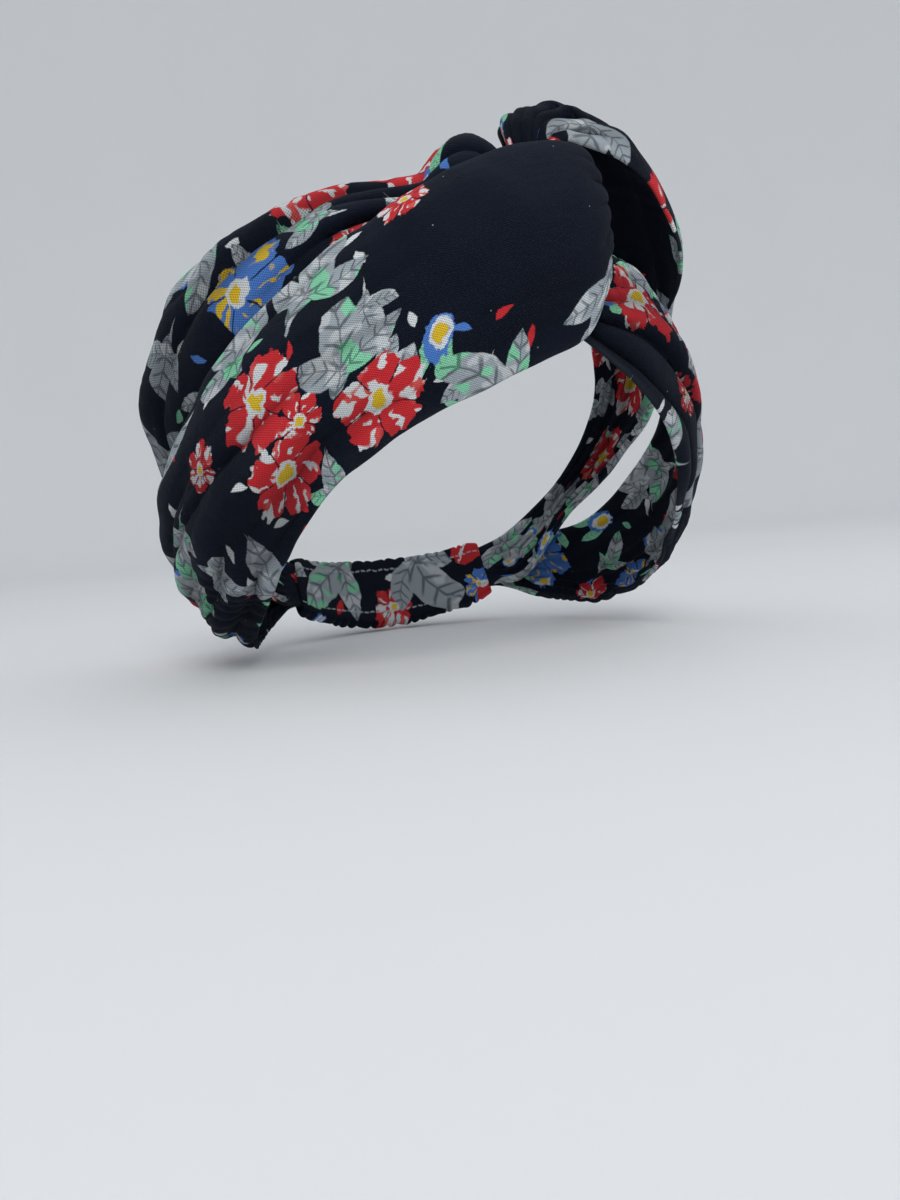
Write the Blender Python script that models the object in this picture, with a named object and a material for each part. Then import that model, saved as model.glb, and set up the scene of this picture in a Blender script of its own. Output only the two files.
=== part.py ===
"""Turban headband: two wide cotton strips that hook round each other above the forehead.

Frame: metres, +Z up, the face looks along -Y, +X is the wearer's left. The origin is the middle of the
head that the band is worn on.

Every point of the cloth is first given in head coordinates: degrees round the head (0 above the nose,
growing to the wearer's right), degrees up towards the crown, and the distance out from the head.
"""
import math
from typing import NamedTuple

import bpy
import numpy as np

# The head that the band is shaped by, and how far the band's plane rises towards the forehead.
HEAD_WIDTH = 0.156
HEAD_LENGTH = 0.196
HEAD_HEIGHT = 0.180
BAND_TILT = 30.0

# The cloth. STAND_OFF is how far the fullest rolls of the wrap stand out from the head.
STAND_OFF = 0.045
CLOTH = 0.0014
LAYER_GAP = 0.0006
CREASE_DEPTH = 0.005
CREASE_REACH = 0.020
CREASE_FADE = 0.6

# The sections are laid out flat at a little more than the head's own radius, where the cloth lies.
LAYOUT_SHARE = 1.13

# The gathered casing at the nape: where it lies, and half the width of the strip ends inside it, in degrees.
NAPE_UP = 6.0
END_HALF_WIDTH = 6.5
END_ROUND = 160.0
CASING_ROUND = 150.0
MOUTH_LEAD = 1.5
CASING_WALL = 0.0012
CASING_CLEARANCE = 0.0005
CASING_CORNER_ROOM = 0.0014
CASING_CORNER = 0.35
CASING_FLARE = 0.12
HEAD_CLEARANCE = 0.0008
RUFFLE_HEIGHT = 0.0009
RUFFLE_EDGE_SHARE = 0.5
RUFFLES = 9

# How finely the faceted surfaces are cut.
CUTS_ALONG = 56
CUTS_ACROSS = 20
KNOT_CUTS = 0.6
CASING_CUTS_PER_RUFFLE = 4
CASING_CUTS_AROUND = 16
FLATTEST_ARCH = 1.0
SHARPEST_SMOOTH_EDGE = 60.0

# The plain colours of the strips and of the casing, as linear RGB, and their roughness.
STRIP_COLOUR = (0.020, 0.026, 0.050)
CASING_COLOUR = (0.018, 0.022, 0.042)
ROUGHNESS = 0.85

TURN = 2.0 * math.pi
DEGREE = TURN / 360.0
MEAN_HEAD_RADIUS = (HEAD_WIDTH + HEAD_LENGTH + HEAD_HEIGHT) / 6.0
ARC_PER_DEGREE = MEAN_HEAD_RADIUS * LAYOUT_SHARE * DEGREE
FLAT = np.array([ARC_PER_DEGREE, ARC_PER_DEGREE, 1.0])

# The two layers of strip that lie in the casing, measured from the head to the middle of each layer.
INNER_SEAT = HEAD_CLEARANCE + CASING_WALL + CASING_CLEARANCE + CLOTH / 2.0
OUTER_SEAT = INNER_SEAT + CLOTH + LAYER_GAP


class Section(NamedTuple):
    """One section across a strip, from its first edge to its second.

    round and up are degrees, out is a share of STAND_OFF above the strip's seat, arch is the degrees of
    arc that the section bulges by, and lean shifts the bulge towards the second edge.
    """
    round_1: float
    up_1: float
    out_1: float
    round_2: float
    up_2: float
    out_2: float
    arch: float
    lean: float


class Crease(NamedTuple):
    """A valley pressed into the bulging side of a strip between two of its sections.

    across_1 and across_2 are shares of the width, depth and reach are shares of CREASE_DEPTH and
    CREASE_REACH, and steep is how short the far wall is beside the near slope.
    """
    section_1: float
    section_2: float
    across_1: float
    across_2: float
    depth: float
    reach: float
    steep: float


END_LOW = NAPE_UP - END_HALF_WIDTH
END_HIGH = NAPE_UP + END_HALF_WIDTH
MOUTH_ROUND = CASING_ROUND - MOUTH_LEAD

# The strip on the wearer's right, from the nape along the outer flap, round its fold and back inside it.
RIGHT_SECTIONS = [
    Section(END_ROUND, END_LOW, 0.00, END_ROUND, END_HIGH, 0.00, 4, 0),
    Section(MOUTH_ROUND, END_LOW, 0.00, MOUTH_ROUND, END_HIGH, 0.00, 4, 0),
    Section(137, -9, 0.09, 136, 13, 0.10, 40, 0),
    Section(122, -21, 0.20, 118, 7, 0.30, 90, 0),
    Section(109, -25, 0.18, 104, 7, 0.47, 85, 0),
    Section(92, -26, 0.07, 90, 9, 0.54, 88, 0),
    Section(74, -24, 0.03, 72, 11, 0.54, 82, 0),
    Section(50, -18, 0.01, 50, 14, 0.55, 66, 0),
    Section(30, -14, 0.01, 31, 18, 0.57, 55, 0),
    Section(15, -11, 0.01, 16, 23, 0.64, 50, 0),
    Section(2, -7.5, 0.06, 2, 26.5, 0.79, 50, 0),
    Section(-5.5, -4, 0.17, -7, 26.5, 0.88, 42, 0),
    Section(-10, 4, 0.35, -12, 25, 0.88, 28, 0),
    Section(-11, 13, 0.47, -13.5, 24, 0.78, 12, 0),
    Section(-9, 16, 0.34, -12, 23.5, 0.58, -10, 0),
    Section(-4, 17, 0.16, -6, 25, 0.32, -20, 0),
    Section(1, 18, 0.10, -1, 30, 0.20, -60, 0),
    Section(5.3, 25.5, 0.21, -1.0, 44, 0.55, -185, 0),
    Section(13, 22.5, 0.27, 11, 46, 0.32, -125, 0),
    Section(28, 20, 0.36, 28, 51, 0.19, -140, -0.1),
    Section(42, 18, 0.36, 42, 51, 0.15, -160, -0.1),
    Section(58, 15.5, 0.34, 59, 48, 0.19, -182, -0.1),
    Section(76, 14, 0.30, 77, 41, 0.20, -212, -0.1),
    Section(90, 12, 0.26, 91, 33, 0.20, -228, 0),
    Section(104, 10, 0.20, 105, 25, 0.20, -206, 0),
    Section(120, 4, 0.09, 120, 18, 0.11, -90, 0),
    Section(138, -3, 0.02, 138, 14, 0.02, -20, 0),
    Section(MOUTH_ROUND, END_LOW, 0.00, MOUTH_ROUND, END_HIGH, 0.00, -4, 0),
    Section(END_ROUND, END_LOW, 0.00, END_ROUND, END_HIGH, 0.00, -4, 0),
]
RIGHT_CREASES = [
    Crease(17.8, 23.6, 0.54, 0.16, 1.0, 0.6, 0.4),
    Crease(21.4, 25.8, 0.52, 0.44, 0.6, 0.5, 0.5),
    Crease(2.0, 8.0, 0.62, 0.10, 0.6, 1.1, 0.25),
    Crease(1.6, 6.2, 0.35, -0.05, 0.6, 0.9, 0.25),
    Crease(3.5, 9.0, 0.80, 0.62, 0.45, 0.9, 0.3),
]

# The strip on the wearer's left, from the nape along the temple, under the flap, over it and back.
LEFT_SECTIONS = [
    Section(-END_ROUND, END_LOW, 0.00, -END_ROUND, END_HIGH, 0.00, 4, 0),
    Section(-MOUTH_ROUND, END_LOW, 0.00, -MOUTH_ROUND, END_HIGH, 0.00, 4, 0),
    Section(-137, -9, 0.09, -136, 12, 0.09, 40, 0),
    Section(-120, -20, 0.18, -118, 6, 0.20, 80, 0),
    Section(-95, -25, 0.16, -94, 8, 0.26, 85, 0),
    Section(-70, -24, 0.03, -70, 10, 0.26, 76, 0),
    Section(-50, -19, 0.00, -50, 13.5, 0.23, 82, 0),
    Section(-34, -14, 0.00, -35, 18, 0.25, 86, 0),
    Section(-20, -9, 0.00, -22, 21, 0.31, 76, 0),
    Section(-9, -3, 0.02, -11.5, 13.5, 0.28, 60, 0),
    Section(-1, 3, 0.09, -5, 14.5, 0.40, 50, 0),
    Section(2.5, 12, 0.29, -3, 18, 0.48, 50, 0),
    Section(-1.6, 24, 0.53, -6, 23.5, 0.60, 60, 0),
    Section(-2.4, 35.0, 0.88, -9.5, 28.5, 0.88, 140, 0),
    Section(-6, 41.5, 0.86, -15.5, 26, 0.94, 165, 0),
    Section(-15, 46.5, 0.74, -21, 22, 0.95, 168, 0),
    Section(-26, 46.5, 0.51, -28, 19, 0.86, 150, 0),
    Section(-38, 45, 0.33, -38, 17, 0.70, 140, 0),
    Section(-54, 42, 0.24, -54, 16, 0.38, 120, 0),
    Section(-72, 36, 0.20, -72, 14, 0.33, 110, 0),
    Section(-94, 28, 0.20, -94, 12, 0.25, 110, 0),
    Section(-118, 20, 0.11, -118, 9, 0.13, 80, 0),
    Section(-138, 14, 0.02, -138, -2, 0.02, 20, 0),
    Section(-MOUTH_ROUND, END_HIGH, 0.00, -MOUTH_ROUND, END_LOW, 0.00, 4, 0),
    Section(-END_ROUND, END_HIGH, 0.00, -END_ROUND, END_LOW, 0.00, 4, 0),
]
LEFT_CREASES = [
    Crease(2.0, 10.0, 0.70, 0.62, 0.6, 1.1, 0.25),
    Crease(2.0, 9.6, 0.42, 0.30, 0.6, 1.1, 0.25),
    Crease(13.0, 22.0, 0.50, 0.45, 0.8, 0.8, 0.8),
    Crease(12.4, 16.6, 0.66, 0.76, 0.9, 0.4, 0.5),
]


def head_direction(round_, up):
    """Unit vectors from the head's middle, for degrees round it and degrees up from the band's plane."""
    tilt = BAND_TILT * DEGREE
    front = np.array([0.0, -math.cos(tilt), math.sin(tilt)])
    right = np.array([-1.0, 0.0, 0.0])
    crown = np.array([0.0, math.sin(tilt), math.cos(tilt)])
    around = np.asarray(round_)[..., None] * DEGREE
    rise = np.asarray(up)[..., None] * DEGREE
    return np.cos(rise) * (np.cos(around) * front + np.sin(around) * right) + np.sin(rise) * crown


def on_head(points):
    """World points for head coordinates (degrees round, degrees up, metres out)."""
    direction = head_direction(points[..., 0], points[..., 1])
    half_sizes = np.array([HEAD_WIDTH, HEAD_LENGTH, HEAD_HEIGHT]) / 2.0
    radius = 1.0 / np.linalg.norm(direction / half_sizes, axis=-1, keepdims=True)
    return direction * (radius + points[..., 2:3])


def unit(vectors):
    return vectors / np.linalg.norm(vectors, axis=-1, keepdims=True)


def surface_normals(grid):
    return unit(np.cross(np.gradient(grid, axis=0), np.gradient(grid, axis=1)))


def smooth_sections(sections, count):
    """A smooth curve through the sections, and the section number of each cut.

    KNOT_CUTS below 1 puts more of the cuts where the sections lie close, as they do in the knot.
    """
    rows = np.array(sections, dtype=float)
    rows[:, [2, 5]] *= STAND_OFF
    seats = np.linspace(OUTER_SEAT, INNER_SEAT, len(rows))
    rows[:, [2, 5]] += seats[:, None]
    middles = (rows[:, 0:3] + rows[:, 3:6]) / 2.0 * FLAT
    steps = np.linalg.norm(np.diff(middles, axis=0), axis=1) ** KNOT_CUTS
    knots = np.concatenate([[0.0], np.cumsum(steps)])
    where = np.linspace(0.0, knots[-1], count)
    first = np.clip(np.searchsorted(knots, where, side="right") - 1, 0, len(rows) - 2)
    share = ((where - knots[first]) / (knots[first + 1] - knots[first]))[:, None]
    padded = np.vstack([2 * rows[0] - rows[1], rows, 2 * rows[-1] - rows[-2]])
    before, here, after, beyond = (padded[first + shift] for shift in range(4))
    curve = 0.5 * (2 * here + (after - before) * share
                   + (2 * before - 5 * here + 4 * after - beyond) * share ** 2
                   + (3 * here - before - 3 * after + beyond) * share ** 3)
    return curve, first + share[:, 0]


def crease_height(crease, station, across, width):
    """The crease's depth below the surface: a slow slope before its line and a steeper wall behind it."""
    progress = np.clip((station - crease.section_1) / (crease.section_2 - crease.section_1), 0.0, 1.0)
    line = crease.across_1 + (crease.across_2 - crease.across_1) * progress
    fade = np.sin(math.pi * progress) ** CREASE_FADE
    reach = crease.reach * CREASE_REACH
    distance = (across - line) * width
    wall = np.exp(-np.abs(distance) / np.where(distance > 0.0, crease.steep * reach, reach))
    return -crease.depth * CREASE_DEPTH * fade * wall


def strip_surface(sections, creases):
    """The middle surface of a strip as a grid of world points, along it and across it."""
    rows, station = smooth_sections(sections, CUTS_ALONG + 1)
    edge_1 = rows[:, 0:3] * FLAT
    edge_2 = rows[:, 3:6] * FLAT
    width = np.linalg.norm(edge_2 - edge_1, axis=1, keepdims=True)
    crossing = (edge_2 - edge_1) / width
    outward = unit(np.cross(crossing, np.gradient((edge_1 + edge_2) / 2.0, axis=0)))
    outward *= np.sign(outward[0, 2])
    across = np.linspace(0.0, 1.0, CUTS_ACROSS + 1)[None, :]
    arch = rows[:, 6:7] * DEGREE
    flattest = FLATTEST_ARCH * DEGREE
    arch = np.where(np.abs(arch) < flattest, flattest, arch)
    radius = width / (2.0 * np.sin(arch / 2.0))
    angle = (across - 0.5) * arch
    rise = radius * (np.cos(angle) - np.cos(arch / 2.0))
    run = radius * np.sin(angle) + width / 2.0 + rows[:, 7:8] * np.abs(rise)
    flat = edge_1[:, None] + crossing[:, None] * run[..., None] + outward[:, None] * rise[..., None]
    height = np.sign(arch) * sum(crease_height(crease, station[:, None], across, width) for crease in creases)
    normals = surface_normals(flat)
    normals *= np.sign(np.sum(normals * outward[:, None]))
    return on_head((flat + normals * height[..., None]) / FLAT)


def sheet_body(grid, wall):
    """A closed sheet round a middle surface: vertices and quads."""
    normals = surface_normals(grid)
    rows, columns = grid.shape[:2]
    layer = rows * columns
    vertices = np.concatenate([(grid + normals * wall / 2.0).reshape(-1, 3),
                               (grid - normals * wall / 2.0).reshape(-1, 3)])
    index = np.arange(layer).reshape(rows, columns)
    a, b = index[:-1, :-1].ravel(), index[1:, :-1].ravel()
    c, d = index[1:, 1:].ravel(), index[:-1, 1:].ravel()
    top = np.stack([a, b, c, d], axis=1)
    bottom = np.stack([d, c, b, a], axis=1) + layer
    border = np.concatenate([index[:-1, 0], index[-1, :-1], index[:0:-1, -1], index[0, :0:-1]])
    following = np.roll(border, -1)
    rim = np.stack([border, border + layer, following + layer, following], axis=1)
    return vertices, np.concatenate([top, bottom, rim])


def casing_body():
    """The nape casing: a flat sleeve with open mouths and gathered ruffles on its outer side."""
    cuts = RUFFLES * CASING_CUTS_PER_RUFFLE
    along = np.linspace(0.0, 1.0, cuts + 1)[:, None]
    angle = np.linspace(0.0, TURN, CASING_CUTS_AROUND, endpoint=False)[None, :]
    middle_out = (INNER_SEAT + OUTER_SEAT) / 2.0
    inner_depth = (OUTER_SEAT - INNER_SEAT + CLOTH) / 2.0 + CASING_CLEARANCE
    inner_height = END_HALF_WIDTH * ARC_PER_DEGREE + CASING_CORNER_ROOM + CASING_CLEARANCE
    side = np.sign(np.cos(angle)) * np.abs(np.cos(angle)) ** CASING_CORNER
    face = np.sign(np.sin(angle)) * np.abs(np.sin(angle)) ** CASING_CORNER
    squeeze = np.sin(math.pi * along) ** 2
    ruffle = RUFFLE_HEIGHT * (0.5 - 0.5 * np.cos(TURN * RUFFLES * along))
    outer_side = np.clip(face, 0.0, 1.0)
    flare = 1.0 + CASING_FLARE * squeeze
    layers = []
    for wall, lift in ((CASING_WALL, 1.0), (0.0, 0.0)):
        out = middle_out + face * (inner_depth + wall) + lift * ruffle * outer_side
        up = side * (inner_height + wall + lift * ruffle * RUFFLE_EDGE_SHARE) * flare
        round_ = CASING_ROUND + (360.0 - 2.0 * CASING_ROUND) * along + 0.0 * angle
        points = np.stack([round_, NAPE_UP + up / ARC_PER_DEGREE, out + 0.0 * along], axis=-1)
        layers.append(on_head(points))
    vertices = np.concatenate([layers[0].reshape(-1, 3), layers[1].reshape(-1, 3)])
    index = np.arange((cuts + 1) * CASING_CUTS_AROUND).reshape(cuts + 1, CASING_CUTS_AROUND)
    beside = np.roll(index, -1, axis=1)
    outer = np.stack([index[:-1], beside[:-1], beside[1:], index[1:]], axis=-1).reshape(-1, 4)
    inner = outer[:, ::-1] + index.size
    mouths = []
    for row, turn in ((0, 1), (cuts, -1)):
        ring = np.stack([index[row] + index.size, beside[row] + index.size, beside[row], index[row]], axis=1)
        mouths.append(ring[:, ::turn])
    return vertices, np.concatenate([outer, inner, *mouths])


def signed_volume(vertices, quads):
    a, b, c, d = (vertices[quads[:, corner]] for corner in range(4))
    return (np.sum(a * np.cross(b, c)) + np.sum(a * np.cross(c, d))) / 6.0


def add_object(name, body, colour):
    """Make one named object with its own material, its faces pointing out."""
    vertices, quads = body
    if signed_volume(vertices, quads) < 0.0:
        quads = quads[:, ::-1]
    mesh = bpy.data.meshes.new(name)
    mesh.from_pydata(vertices.tolist(), [], quads.tolist())
    mesh.validate()
    mesh.shade_smooth()
    mesh.set_sharp_from_angle(angle=SHARPEST_SMOOTH_EDGE * DEGREE)
    material = bpy.data.materials.new(name + "_cloth")
    material.use_nodes = True
    shader = material.node_tree.nodes["Principled BSDF"]
    shader.inputs["Base Color"].default_value = (*colour, 1.0)
    shader.inputs["Roughness"].default_value = ROUGHNESS
    shader.inputs["Metallic"].default_value = 0.0
    mesh.materials.append(material)
    made = bpy.data.objects.new(name, mesh)
    bpy.context.scene.collection.objects.link(made)
    return made


def clear_scene():
    for old in list(bpy.data.objects):
        bpy.data.objects.remove(old, do_unlink=True)


def main():
    clear_scene()
    right = sheet_body(strip_surface(RIGHT_SECTIONS, RIGHT_CREASES), CLOTH)
    left = sheet_body(strip_surface(LEFT_SECTIONS, LEFT_CREASES), CLOTH)
    add_object("right_wrap", right, STRIP_COLOUR)
    add_object("left_wrap", left, STRIP_COLOUR)
    add_object("nape_band", casing_body(), CASING_COLOUR)


main()
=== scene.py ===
"""Dresses the turban headband in gathered, printed cotton on a pale studio floor.

Two wide strips hook round each other above the forehead and run back to a gathered casing at the nape.
Everything is in metres, +Z up, the face looks along -Y and +X is the wearer's left. The origin is the
middle of the head that the band is worn on.
"""
import logging
import math
from dataclasses import dataclass, field
from enum import Enum
from typing import NamedTuple, Sequence, Union

import bpy
import numpy as np
from mathutils import Matrix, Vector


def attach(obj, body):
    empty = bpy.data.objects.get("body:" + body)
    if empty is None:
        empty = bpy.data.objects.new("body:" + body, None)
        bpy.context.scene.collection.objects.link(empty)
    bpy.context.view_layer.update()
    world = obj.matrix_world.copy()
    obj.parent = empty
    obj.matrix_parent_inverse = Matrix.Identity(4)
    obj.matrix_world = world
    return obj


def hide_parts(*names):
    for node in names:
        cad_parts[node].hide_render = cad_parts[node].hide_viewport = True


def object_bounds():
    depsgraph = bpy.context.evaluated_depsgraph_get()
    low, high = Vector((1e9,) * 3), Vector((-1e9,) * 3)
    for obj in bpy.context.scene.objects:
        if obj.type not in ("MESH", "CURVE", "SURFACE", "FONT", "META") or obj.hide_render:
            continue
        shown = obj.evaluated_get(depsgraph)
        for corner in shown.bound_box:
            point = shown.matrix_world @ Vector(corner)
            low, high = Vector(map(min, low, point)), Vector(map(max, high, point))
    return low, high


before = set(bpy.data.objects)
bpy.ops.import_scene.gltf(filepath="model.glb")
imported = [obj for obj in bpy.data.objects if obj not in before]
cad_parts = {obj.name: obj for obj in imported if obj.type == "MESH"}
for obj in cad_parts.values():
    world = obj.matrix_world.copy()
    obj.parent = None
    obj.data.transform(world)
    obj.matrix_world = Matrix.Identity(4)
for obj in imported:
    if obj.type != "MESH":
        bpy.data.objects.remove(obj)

CAD_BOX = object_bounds()
LOG = logging.getLogger("turban_headband")
TURN = 2.0 * math.pi
DEGREE = math.pi / 180.0
RGB = tuple[float, float, float]


class Ink(Enum):
    """The dye of the ground, the colours printed on it and the colour of painted shade, as linear RGB."""

    NAVY = (0.0048, 0.0084, 0.0205)
    # SHADE is the ground's darker dye tone; it is also painted as shade into the folds' valleys and the gaps
    # between threads.
    SHADE = (0.0024, 0.0036, 0.0074)
    GREY = (0.385, 0.435, 0.470)
    RED = (0.640, 0.030, 0.036)
    CORAL = (0.780, 0.120, 0.105)
    WHITE = (0.760, 0.790, 0.800)
    MINT = (0.270, 0.700, 0.440)
    BLUE = (0.085, 0.225, 0.640)
    YELLOW = (0.830, 0.560, 0.030)


class Section(NamedTuple):
    """One section across a strip, from its first edge to its second.

    round and up are degrees on the head, out is a share of the wrap's stand-off above the strip's seat,
    arch is the degrees of arc that the section bulges by, and lean shifts the bulge to the second edge.
    """

    round_1: float
    up_1: float
    out_1: float
    round_2: float
    up_2: float
    out_2: float
    arch: float
    lean: float


class Crease(NamedTuple):
    """A valley pressed into a strip between two sections, as shares of its width, depth and reach."""

    section_1: float
    section_2: float
    across_1: float
    across_2: float
    depth: float
    reach: float
    steep: float


class Gather(NamedTuple):
    """Pleats along a strip between two sections: how many, how much of the spare width, how they wander."""

    section_1: float
    section_2: float
    count: float
    fullness: float
    wander: float


class Crumple(NamedTuple):
    """Small sagging folds across a strip: where they centre, how far they reach, their pitch and depth."""

    section: float
    across: float
    reach_along: float
    reach_across: float
    pitch: float
    depth: float
    slant: float


@dataclass(frozen=True)
class Head:
    """The egg-shaped head that the band is shaped by, and the tilt of the band's plane on it."""

    width: float = 0.156
    length: float = 0.196
    height: float = 0.180
    tilt: float = 30.0
    layout_share: float = 1.13

    @property
    def arc_per_degree(self) -> float:
        """Metres of cloth for one degree round the head."""
        return (self.width + self.length + self.height) / 6.0 * self.layout_share * DEGREE

    @property
    def layout(self) -> np.ndarray:
        """Factors from head coordinates to a flat layout in metres."""
        return np.array([self.arc_per_degree, self.arc_per_degree, 1.0])

    def place(self, points: np.ndarray) -> np.ndarray:
        """Turn head coordinates into world points.

        The direction is the band's front turned round the crown's axis and lifted towards the crown; the
        point lies where that ray leaves the ellipsoid, plus its distance out.

        Args:
            points: degrees round, degrees up and metres out, in the last axis.

        Returns:
            World points of the same shape.
        """
        tilt = self.tilt * DEGREE
        front = np.array([0.0, -math.cos(tilt), math.sin(tilt)])
        right = np.array([-1.0, 0.0, 0.0])
        crown = np.array([0.0, math.sin(tilt), math.cos(tilt)])
        around, rise = points[..., 0:1] * DEGREE, points[..., 1:2] * DEGREE
        direction = np.cos(rise) * (np.cos(around) * front + np.sin(around) * right) + np.sin(rise) * crown
        half_sizes = np.array([self.width, self.length, self.height]) / 2.0
        radius = 1.0 / np.linalg.norm(direction / half_sizes, axis=-1, keepdims=True)
        return direction * (radius + points[..., 2:3])


@dataclass(frozen=True)
class Wrap:
    """The sizes that both strips and the casing share."""

    stand_off: float = 0.045
    cloth: float = 0.0014
    layer_gap: float = 0.0006
    crease_depth: float = 0.005
    crease_reach: float = 0.020
    crease_fade: float = 0.6
    nape_up: float = 6.0
    end_half_width: float = 6.5
    end_round: float = 160.0
    casing_round: float = 150.0
    mouth_lead: float = 1.5
    casing_wall: float = 0.0012
    casing_clearance: float = 0.0005
    casing_corner_room: float = 0.0014
    head_clearance: float = 0.0008

    @property
    def inner_seat(self) -> float:
        """Height of the inner layer of strip in the casing, above the head."""
        return self.head_clearance + self.casing_wall + self.casing_clearance + self.cloth / 2.0

    @property
    def outer_seat(self) -> float:
        """Height of the outer layer of strip in the casing, above the head."""
        return self.inner_seat + self.cloth + self.layer_gap


HEAD = Head()
WRAP = Wrap()
LOW, HIGH = WRAP.nape_up - WRAP.end_half_width, WRAP.nape_up + WRAP.end_half_width
END, MOUTH = WRAP.end_round, WRAP.casing_round - WRAP.mouth_lead

RIGHT_SECTIONS = [Section(*row) for row in (
    (END, LOW, 0.00, END, HIGH, 0.00, 4, 0),
    (MOUTH, LOW, 0.00, MOUTH, HIGH, 0.00, 4, 0),
    (137, -9, 0.09, 136, 13, 0.10, 40, 0),
    (122, -21, 0.20, 118, 7, 0.30, 90, 0),
    (109, -25, 0.18, 104, 7, 0.47, 85, 0),
    (92, -26, 0.07, 90, 9, 0.54, 88, 0),
    (74, -24, 0.03, 72, 11, 0.54, 82, 0),
    (50, -18, 0.01, 50, 14, 0.55, 66, 0),
    (30, -14, 0.01, 31, 18, 0.57, 55, 0),
    (15, -11, 0.01, 16, 23, 0.64, 50, 0),
    (2, -7.5, 0.06, 2, 26.5, 0.79, 50, 0),
    (-5.5, -4, 0.17, -7, 26.5, 0.88, 42, 0),
    (-10, 4, 0.35, -12, 25, 0.88, 28, 0),
    (-11, 13, 0.47, -13.5, 24, 0.78, 12, 0),
    (-9, 16, 0.34, -12, 23.5, 0.58, -10, 0),
    (-4, 17, 0.16, -6, 25, 0.32, -20, 0),
    (1, 18, 0.10, -1, 30, 0.20, -60, 0),
    (5.3, 25.5, 0.21, -1.0, 44, 0.55, -185, 0),
    (13, 22.5, 0.27, 11, 46, 0.32, -125, 0),
    (28, 20, 0.36, 28, 51, 0.19, -140, -0.1),
    (42, 18, 0.36, 42, 51, 0.15, -160, -0.1),
    (58, 15.5, 0.34, 59, 48, 0.19, -182, -0.1),
    (76, 14, 0.30, 77, 41, 0.20, -212, -0.1),
    (90, 12, 0.26, 91, 33, 0.20, -228, 0),
    (104, 10, 0.20, 105, 25, 0.20, -206, 0),
    (120, 4, 0.09, 120, 18, 0.11, -90, 0),
    (138, -3, 0.02, 138, 14, 0.02, -20, 0),
    (MOUTH, LOW, 0.00, MOUTH, HIGH, 0.00, -4, 0),
    (END, LOW, 0.00, END, HIGH, 0.00, -4, 0),
)]
RIGHT_CREASES = [Crease(*row) for row in (
    (17.8, 23.6, 0.54, 0.16, 1.0, 0.6, 0.4),
    (21.4, 25.8, 0.52, 0.44, 0.6, 0.5, 0.5),
    (2.0, 8.0, 0.62, 0.10, 0.6, 1.1, 0.25),
    (1.6, 6.2, 0.35, -0.05, 0.6, 0.9, 0.25),
    (3.5, 9.0, 0.80, 0.62, 0.45, 0.9, 0.3),
    (17.9, 23.4, 0.54, 0.16, 0.60, 0.18, 0.40),
    (16.8, 20.6, 0.30, 0.10, 0.55, 0.20, 0.50),
    (19.6, 25.4, 0.62, 0.50, 0.40, 0.20, 0.60),
    (22.0, 25.6, 0.30, 0.24, 0.45, 0.22, 0.60),
    (1.5, 5.4, 0.56, 0.42, 0.85, 0.24, 0.50),
    (2.4, 7.4, 0.22, 0.05, 0.70, 0.22, 0.60),
    (3.2, 6.8, 0.72, 0.52, 0.80, 0.22, 0.40),
    (8.4, 11.2, 0.32, 0.24, 0.14, 0.12, 0.80),
    (8.8, 11.4, 0.18, 0.10, 0.12, 0.10, 0.80),
)]
RIGHT_GATHERS = [Gather(*row) for row in (
    (1.0, 6.3, 6.0, 1.0, 0.5),
    (4.6, 8.6, 3.0, 0.4, 0.4),
    (11.0, 15.5, 6.0, 0.4, 0.3),
    (15.8, 19.8, 6.0, 1.0, 0.3),
    (18.5, 24.8, 4.0, 0.8, 0.5),
    (23.3, 27.0, 7.0, 1.0, 0.4),
)]
RIGHT_CRUMPLES = [Crumple(*row) for row in (
    (2.6, 0.12, 1.0, 0.30, 0.0065, 0.0011, 0.5),
    (4.6, 0.20, 1.2, 0.28, 0.0090, 0.0008, 0.3),
    (21.5, 0.75, 1.4, 0.25, 0.0100, 0.0007, -0.4),
    (12.5, 0.15, 0.8, 0.20, 0.0055, 0.0006, 0.6),
)]
LEFT_SECTIONS = [Section(*row) for row in (
    (-END, LOW, 0.00, -END, HIGH, 0.00, 4, 0),
    (-MOUTH, LOW, 0.00, -MOUTH, HIGH, 0.00, 4, 0),
    (-137, -9, 0.09, -136, 12, 0.09, 40, 0),
    (-120, -20, 0.18, -118, 6, 0.20, 80, 0),
    (-95, -25, 0.16, -94, 8, 0.26, 85, 0),
    (-70, -24, 0.03, -70, 10, 0.26, 76, 0),
    (-50, -19, 0.00, -50, 13.5, 0.23, 82, 0),
    (-34, -14, 0.00, -35, 18, 0.25, 86, 0),
    (-20, -9, 0.00, -22, 21, 0.31, 76, 0),
    (-9, -3, 0.02, -11.5, 13.5, 0.28, 60, 0),
    (-1, 3, 0.09, -5, 14.5, 0.40, 50, 0),
    (2.5, 12, 0.29, -3, 18, 0.48, 50, 0),
    (-1.6, 24, 0.53, -6, 23.5, 0.60, 60, 0),
    (-2.4, 35.0, 0.88, -9.5, 28.5, 0.88, 140, 0),
    (-6, 41.5, 0.86, -15.5, 26, 0.94, 165, 0),
    (-15, 46.5, 0.74, -21, 22, 0.95, 168, 0),
    (-26, 46.5, 0.51, -28, 19, 0.86, 150, 0),
    (-38, 45, 0.33, -38, 17, 0.70, 140, 0),
    (-54, 42, 0.24, -54, 16, 0.38, 120, 0),
    (-72, 36, 0.20, -72, 14, 0.33, 110, 0),
    (-94, 28, 0.20, -94, 12, 0.25, 110, 0),
    (-118, 20, 0.11, -118, 9, 0.13, 80, 0),
    (-138, 14, 0.02, -138, -2, 0.02, 20, 0),
    (-MOUTH, HIGH, 0.00, -MOUTH, LOW, 0.00, 4, 0),
    (-END, HIGH, 0.00, -END, LOW, 0.00, 4, 0),
)]
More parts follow.
